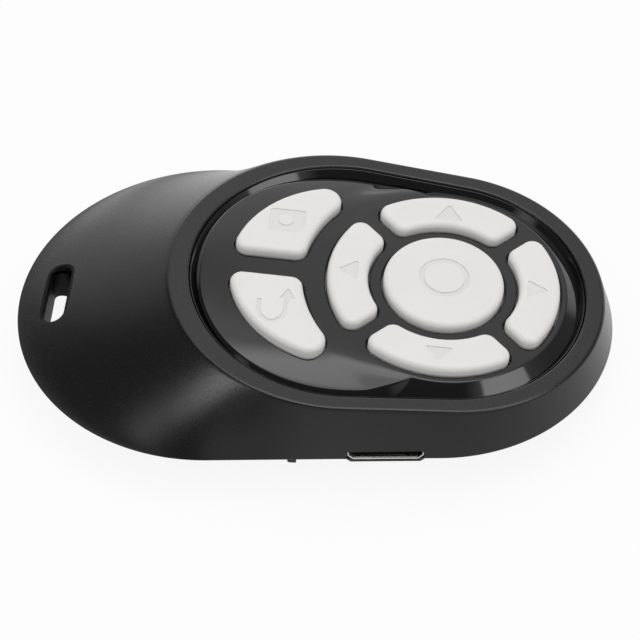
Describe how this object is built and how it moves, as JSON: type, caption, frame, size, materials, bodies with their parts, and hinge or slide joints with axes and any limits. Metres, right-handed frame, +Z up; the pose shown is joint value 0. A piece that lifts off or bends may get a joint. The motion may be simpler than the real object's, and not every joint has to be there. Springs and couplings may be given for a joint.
{
  "type": "bluetooth camera shutter remote",
  "caption": "Handheld camera shutter remote: black egg-shaped body, sloping tail with lanyard slot, pod of white keys: round middle key, ring of arrow keys, camera and back keys.",
  "frame": {"origin": "centre of the bounding box's bottom face, on the table under the body", "axes": "+Z up from the table, +X from the tail with the lanyard slot to the nose with the right key, -Y towards the charging port side"},
  "size_m": [0.0624, 0.041, 0.0119],
  "materials": {
    "shell_black": "fine-textured black ABS",
    "plate_gloss": "gloss black ABS",
    "cover_black": "fine-textured black ABS",
    "key_white": "satin warm-white ABS",
    "silicone": "translucent grey silicone",
    "dome_steel": "spring steel",
    "board_green": "green solder mask",
    "socket_steel": "bright nickel plate",
    "socket_plastic": "black",
    "switch_steel": "tinned",
    "knob_black": "black",
    "battery_foil": "laminate foil pouch",
    "foam_tape": "foam tape",
    "lead_plastic": "red and black wire sleeve",
    "chip_black": "moulded package",
    "crystal_can": "metal lid",
    "passive_ceramic": "ceramic chip",
    "copper": "plated copper trace",
    "screw_steel": "zinc plated"
  },
  "bodies": {
    "housing": {"top_shell": "shell_black", "faceplate": "plate_gloss", "bottom_cover": "cover_black", "key_mat": "silicone", "metal_domes": "dome_steel", "circuit_board": "board_green", "usb_shell": "socket_steel", "usb_tongue": "socket_plastic", "switch_body": "switch_steel", "battery_cell": "battery_foil", "battery_tape": "foam_tape", "battery_leads": "lead_plastic", "bluetooth_chip": "chip_black", "charge_chip": "chip_black", "crystal": "crystal_can", "passives": "passive_ceramic", "antenna": "copper", "board_screws": "screw_steel"},
    "ok_key": {"key_ok": "key_white"},
    "up_key": {"key_up": "key_white"},
    "down_key": {"key_down": "key_white"},
    "left_key": {"key_left": "key_white"},
    "right_key": {"key_right": "key_white"},
    "camera_key": {"key_camera": "key_white"},
    "back_key": {"key_back": "key_white"},
    "power_knob": {"switch_knob": "knob_black"}
  },
  "joints": [
    {"name": "ok_press", "type": "slide", "parent": "housing", "child": "ok_key", "axis": [-0.0767, 0, -0.9971], "range_m": [0, 0.0003], "stiffness_N_per_m": 4000, "springref_m": -0.0001},
    {"name": "up_press", "type": "slide", "parent": "housing", "child": "up_key", "axis": [-0.0767, 0, -0.9971], "range_m": [0, 0.0003], "stiffness_N_per_m": 4000, "springref_m": -0.0001},
    {"name": "down_press", "type": "slide", "parent": "housing", "child": "down_key", "axis": [-0.0767, 0, -0.9971], "range_m": [0, 0.0003], "stiffness_N_per_m": 4000, "springref_m": -0.0001},
    {"name": "left_press", "type": "slide", "parent": "housing", "child": "left_key", "axis": [-0.0767, 0, -0.9971], "range_m": [0, 0.0003], "stiffness_N_per_m": 4000, "springref_m": -0.0001},
    {"name": "right_press", "type": "slide", "parent": "housing", "child": "right_key", "axis": [-0.0767, 0, -0.9971], "range_m": [0, 0.0003], "stiffness_N_per_m": 4000, "springref_m": -0.0001},
    {"name": "camera_press", "type": "slide", "parent": "housing", "child": "camera_key", "axis": [-0.0767, 0, -0.9971], "range_m": [0, 0.0003], "stiffness_N_per_m": 4000, "springref_m": -0.0001},
    {"name": "back_press", "type": "slide", "parent": "housing", "child": "back_key", "axis": [-0.0767, 0, -0.9971], "range_m": [0, 0.0003], "stiffness_N_per_m": 4000, "springref_m": -0.0001},
    {"name": "power_slide", "type": "slide", "parent": "housing", "child": "power_knob", "axis": [1, 0, 0], "range_m": [0, 0.002]}
  ]
}
